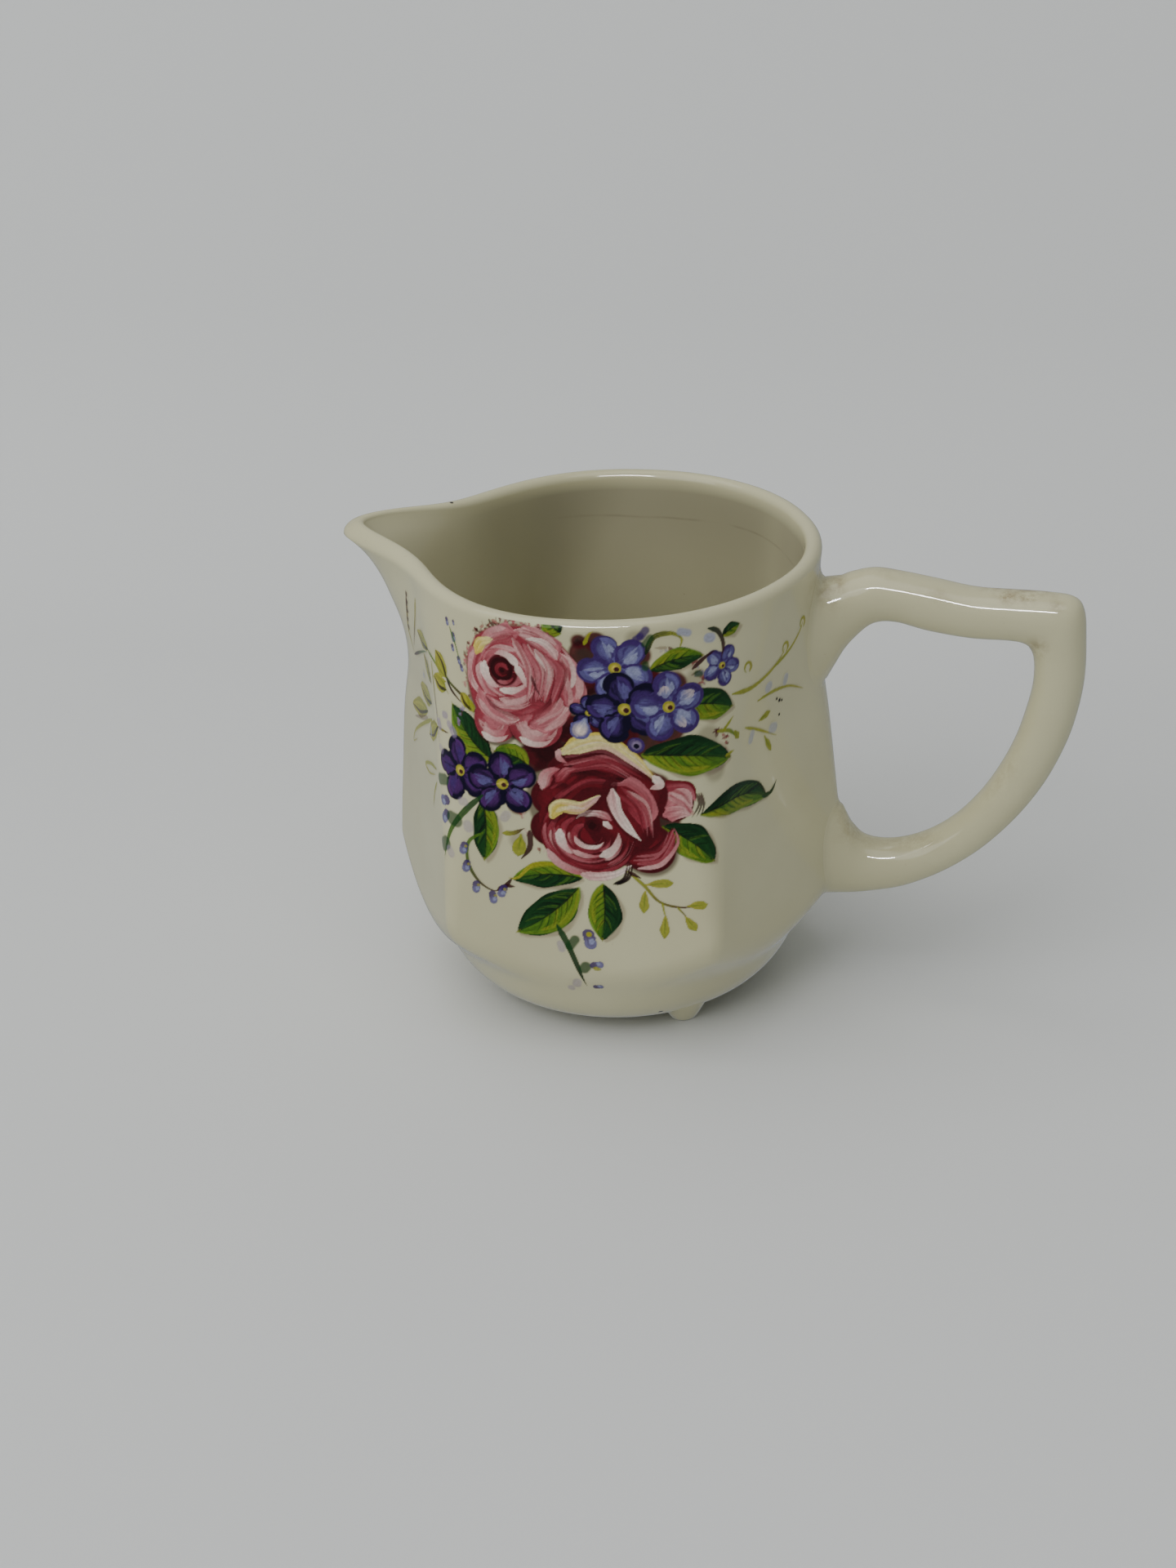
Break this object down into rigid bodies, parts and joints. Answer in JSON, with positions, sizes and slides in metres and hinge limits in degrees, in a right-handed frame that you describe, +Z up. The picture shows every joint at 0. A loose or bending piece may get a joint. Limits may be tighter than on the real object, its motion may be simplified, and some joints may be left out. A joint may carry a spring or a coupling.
{
  "type": "cream jug",
  "caption": "Six-sided earthenware cream jug with round rim, drawn-out spout, D-shaped handle, small feet and printed rose bouquet.",
  "frame": {"origin": "on the table that the feet stand on, under the middle of the jug's overall box from spout tip to handle", "axes": "+X towards the handle, -X towards the spout, -Y towards the bouquet, +Z up; the body's own axis stands at x = -20.25 mm"},
  "size_m": [0.1526, 0.0862, 0.101],
  "materials": {
    "ivory_glaze": "gloss",
    "transfer_colours": "gloss"
  },
  "bodies": {
    "root": {"jug_body": "ivory_glaze", "handle": "ivory_glaze", "foot_front": "ivory_glaze", "foot_back": "ivory_glaze", "foot_spout": "ivory_glaze", "front_bouquet_transfer": "transfer_colours", "spout_side_transfer": "transfer_colours", "handle_side_transfer": "transfer_colours", "back_spray_transfer": "transfer_colours"}
  },
  "joints": []
}
